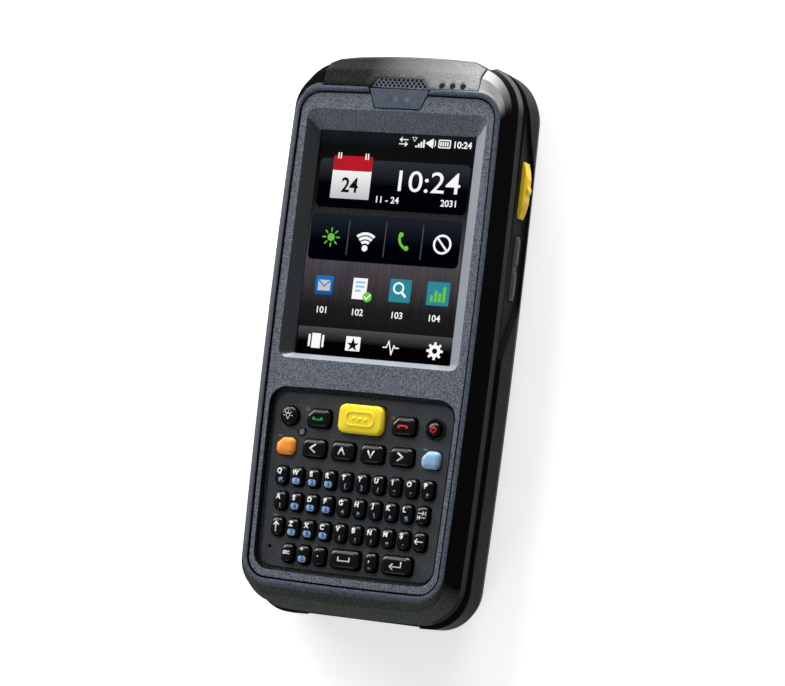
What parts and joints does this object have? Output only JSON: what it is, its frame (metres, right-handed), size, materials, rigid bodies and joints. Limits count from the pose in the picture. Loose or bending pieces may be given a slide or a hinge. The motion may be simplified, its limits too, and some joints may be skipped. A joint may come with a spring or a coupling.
{
  "type": "portable barcode data terminal",
  "caption": "Rugged handheld data terminal with a portrait touch display, a letter keypad, a barcode scanner head, side triggers and a battery that lifts out of the back.",
  "frame": {"origin": "middle of the bounding box's base, on the surface the terminal's back lies on", "axes": "+X across the terminal, +Y from the foot to the scanner head, +Z out of the screen"},
  "size_m": [0.0786, 0.178, 0.032],
  "materials": {
    "shell_black": "fine textured moulding",
    "fascia_grey": "fine textured moulding",
    "seal_rubber": "satin",
    "smoked_window": "satin",
    "clear_lens": "polished",
    "trim_black": "satin",
    "touch_glass": "polished",
    "panel_black": "polished",
    "scan_glass": "polished",
    "board_green": "solder mask",
    "pack_grey": "shrink sleeve",
    "contact_brass": "plated",
    "screw_steel": "blackened",
    "key_black": "polished",
    "key_yellow": "satin",
    "key_orange": "satin",
    "key_blue": "satin",
    "key_grey": "satin"
  },
  "bodies": {
    "terminal": {"battery_contacts": "contact_brass", "display_gasket": "seal_rubber", "display_module": "panel_black", "display_window": "touch_glass", "dock_connector": "trim_black", "earpiece": "trim_black", "earpiece_grille": "trim_black", "front_fascia": "fascia_grey", "front_housing": "shell_black", "head_window": "smoked_window", "housing_screws": "screw_steel", "housing_seal": "seal_rubber", "indicator_lenses": "clear_lens", "keypad_board": "board_green", "keypad_mat": "seal_rubber", "keypad_panel": "fascia_grey", "loudspeaker": "trim_black", "main_board": "board_green", "rear_housing": "shell_black", "scan_engine": "trim_black", "scan_window": "scan_glass", "top_cap": "shell_black"},
    "key_backspace": {"key_backspace": "key_black"},
    "key_blue": {"key_blue": "key_blue"},
    "key_c": {"key_c": "key_black"},
    "key_comma": {"key_comma": "key_black"},
    "key_d": {"key_d": "key_black"},
    "key_down": {"key_down": "key_black"},
    "key_e": {"key_e": "key_black"},
    "key_end": {"key_end": "key_black"},
    "key_enter": {"key_enter": "key_black"},
    "key_escape": {"key_escape": "key_black"},
    "key_f": {"key_f": "key_black"},
    "key_left": {"key_left": "key_black"},
    "key_light": {"key_light": "key_black"},
    "key_orange": {"key_orange": "key_orange"},
    "key_period": {"key_period": "key_black"},
    "key_power": {"key_power": "key_black"},
    "key_r": {"key_r": "key_black"},
    "key_right": {"key_right": "key_black"},
    "key_s": {"key_s": "key_black"},
    "key_scan": {"key_scan": "key_yellow"},
    "key_shift": {"key_shift": "key_black"},
    "key_space": {"key_space": "key_black"},
    "key_tab": {"key_tab": "key_black"},
    "key_talk": {"key_talk": "key_black"},
    "key_up": {"key_up": "key_black"},
    "key_w": {"key_w": "key_black"},
    "key_x": {"key_x": "key_black"},
    "key_z": {"key_z": "key_black"},
    "key_zero": {"key_zero": "key_black"},
    "letter_keys_lower": {"letter_keys_lower": "key_black"},
    "letter_keys_middle": {"letter_keys_middle": "key_black"},
    "letter_keys_upper": {"letter_keys_upper": "key_black"},
    "side_trigger_right": {"side_trigger_right": "key_yellow"},
    "side_trigger_left": {"side_trigger_left": "key_yellow"},
    "volume_key": {"volume_key": "key_grey"},
    "battery_latch": {"battery_latch": "shell_black"},
    "battery": {"battery_cover": "shell_black", "battery_pack": "pack_grey"}
  },
  "joints": [
    {"name": "key_backspace_press", "type": "slide", "parent": "terminal", "child": "key_backspace", "axis": [0, 0, -1], "range_m": [0, 0.0004], "stiffness_N_per_m": 800},
    {"name": "key_blue_press", "type": "slide", "parent": "terminal", "child": "key_blue", "axis": [0, 0, -1], "range_m": [0, 0.0004], "stiffness_N_per_m": 800},
    {"name": "key_c_press", "type": "slide", "parent": "terminal", "child": "key_c", "axis": [0, 0, -1], "range_m": [0, 0.0004], "stiffness_N_per_m": 800},
    {"name": "key_comma_press", "type": "slide", "parent": "terminal", "child": "key_comma", "axis": [0, 0, -1], "range_m": [0, 0.0004], "stiffness_N_per_m": 800},
    {"name": "key_d_press", "type": "slide", "parent": "terminal", "child": "key_d", "axis": [0, 0, -1], "range_m": [0, 0.0004], "stiffness_N_per_m": 800},
    {"name": "key_down_press", "type": "slide", "parent": "terminal", "child": "key_down", "axis": [0, 0, -1], "range_m": [0, 0.0004], "stiffness_N_per_m": 800},
    {"name": "key_e_press", "type": "slide", "parent": "terminal", "child": "key_e", "axis": [0, 0, -1], "range_m": [0, 0.0004], "stiffness_N_per_m": 800},
    {"name": "key_end_press", "type": "slide", "parent": "terminal", "child": "key_end", "axis": [0, 0, -1], "range_m": [0, 0.0004], "stiffness_N_per_m": 800},
    {"name": "key_enter_press", "type": "slide", "parent": "terminal", "child": "key_enter", "axis": [0, 0, -1], "range_m": [0, 0.0004], "stiffness_N_per_m": 800},
    {"name": "key_escape_press", "type": "slide", "parent": "terminal", "child": "key_escape", "axis": [0, 0, -1], "range_m": [0, 0.0004], "stiffness_N_per_m": 800},
    {"name": "key_f_press", "type": "slide", "parent": "terminal", "child": "key_f", "axis": [0, 0, -1], "range_m": [0, 0.0004], "stiffness_N_per_m": 800},
    {"name": "key_left_press", "type": "slide", "parent": "terminal", "child": "key_left", "axis": [0, 0, -1], "range_m": [0, 0.0004], "stiffness_N_per_m": 800},
    {"name": "key_light_press", "type": "slide", "parent": "terminal", "child": "key_light", "axis": [0, 0, -1], "range_m": [0, 0.0004], "stiffness_N_per_m": 800},
    {"name": "key_orange_press", "type": "slide", "parent": "terminal", "child": "key_orange", "axis": [0, 0, -1], "range_m": [0, 0.0004], "stiffness_N_per_m": 800},
    {"name": "key_period_press", "type": "slide", "parent": "terminal", "child": "key_period", "axis": [0, 0, -1], "range_m": [0, 0.0004], "stiffness_N_per_m": 800},
    {"name": "key_power_press", "type": "slide", "parent": "terminal", "child": "key_power", "axis": [0, 0, -1], "range_m": [0, 0.0004], "stiffness_N_per_m": 800},
    {"name": "key_r_press", "type": "slide", "parent": "terminal", "child": "key_r", "axis": [0, 0, -1], "range_m": [0, 0.0004], "stiffness_N_per_m": 800},
    {"name": "key_right_press", "type": "slide", "parent": "terminal", "child": "key_right", "axis": [0, 0, -1], "range_m": [0, 0.0004], "stiffness_N_per_m": 800},
    {"name": "key_s_press", "type": "slide", "parent": "terminal", "child": "key_s", "axis": [0, 0, -1], "range_m": [0, 0.0004], "stiffness_N_per_m": 800},
    {"name": "key_scan_press", "type": "slide", "parent": "terminal", "child": "key_scan", "axis": [0, 0, -1], "range_m": [0, 0.0004], "stiffness_N_per_m": 800},
    {"name": "key_shift_press", "type": "slide", "parent": "terminal", "child": "key_shift", "axis": [0, 0, -1], "range_m": [0, 0.0004], "stiffness_N_per_m": 800},
    {"name": "key_space_press", "type": "slide", "parent": "terminal", "child": "key_space", "axis": [0, 0, -1], "range_m": [0, 0.0004], "stiffness_N_per_m": 800},
    {"name": "key_tab_press", "type": "slide", "parent": "terminal", "child": "key_tab", "axis": [0, 0, -1], "range_m": [0, 0.0004], "stiffness_N_per_m": 800},
    {"name": "key_talk_press", "type": "slide", "parent": "terminal", "child": "key_talk", "axis": [0, 0, -1], "range_m": [0, 0.0004], "stiffness_N_per_m": 800},
    {"name": "key_up_press", "type": "slide", "parent": "terminal", "child": "key_up", "axis": [0, 0, -1], "range_m": [0, 0.0004], "stiffness_N_per_m": 800},
    {"name": "key_w_press", "type": "slide", "parent": "terminal", "child": "key_w", "axis": [0, 0, -1], "range_m": [0, 0.0004], "stiffness_N_per_m": 800},
    {"name": "key_x_press", "type": "slide", "parent": "terminal", "child": "key_x", "axis": [0, 0, -1], "range_m": [0, 0.0004], "stiffness_N_per_m": 800},
    {"name": "key_z_press", "type": "slide", "parent": "terminal", "child": "key_z", "axis": [0, 0, -1], "range_m": [0, 0.0004], "stiffness_N_per_m": 800},
    {"name": "key_zero_press", "type": "slide", "parent": "terminal", "child": "key_zero", "axis": [0, 0, -1], "range_m": [0, 0.0004], "stiffness_N_per_m": 800},
    {"name": "letter_keys_lower_press", "type": "slide", "parent": "terminal", "child": "letter_keys_lower", "axis": [0, 0, -1], "range_m": [0, 0.0004], "stiffness_N_per_m": 800},
    {"name": "letter_keys_middle_press", "type": "slide", "parent": "terminal", "child": "letter_keys_middle", "axis": [0, 0, -1], "range_m": [0, 0.0004], "stiffness_N_per_m": 800},
    {"name": "letter_keys_upper_press", "type": "slide", "parent": "terminal", "child": "letter_keys_upper", "axis": [0, 0, -1], "range_m": [0, 0.0004], "stiffness_N_per_m": 800},
    {"name": "side_trigger_right_press", "type": "slide", "parent": "terminal", "child": "side_trigger_right", "axis": [-1, 0, 0], "range_m": [0, 0.0008], "stiffness_N_per_m": 900},
    {"name": "side_trigger_left_press", "type": "slide", "parent": "terminal", "child": "side_trigger_left", "axis": [1, 0, 0], "range_m": [0, 0.0008], "stiffness_N_per_m": 900},
    {"name": "volume_key_rock", "type": "hinge", "parent": "terminal", "child": "volume_key", "pos_m": [0.0361, 0.0254, 0.0114], "axis": [0, 0, 1], "range_deg": [-1.5, 1.5], "stiffness_Nm_per_rad": 0.4},
    {"name": "battery_latch_slide", "type": "slide", "parent": "terminal", "child": "battery_latch", "axis": [0, -1, 0], "range_m": [0, 0.003], "stiffness_N_per_m": 300},
    {"name": "battery_lift", "type": "slide", "parent": "terminal", "child": "battery", "axis": [0, 0, -1], "range_m": [0, 0.014]}
  ]
}
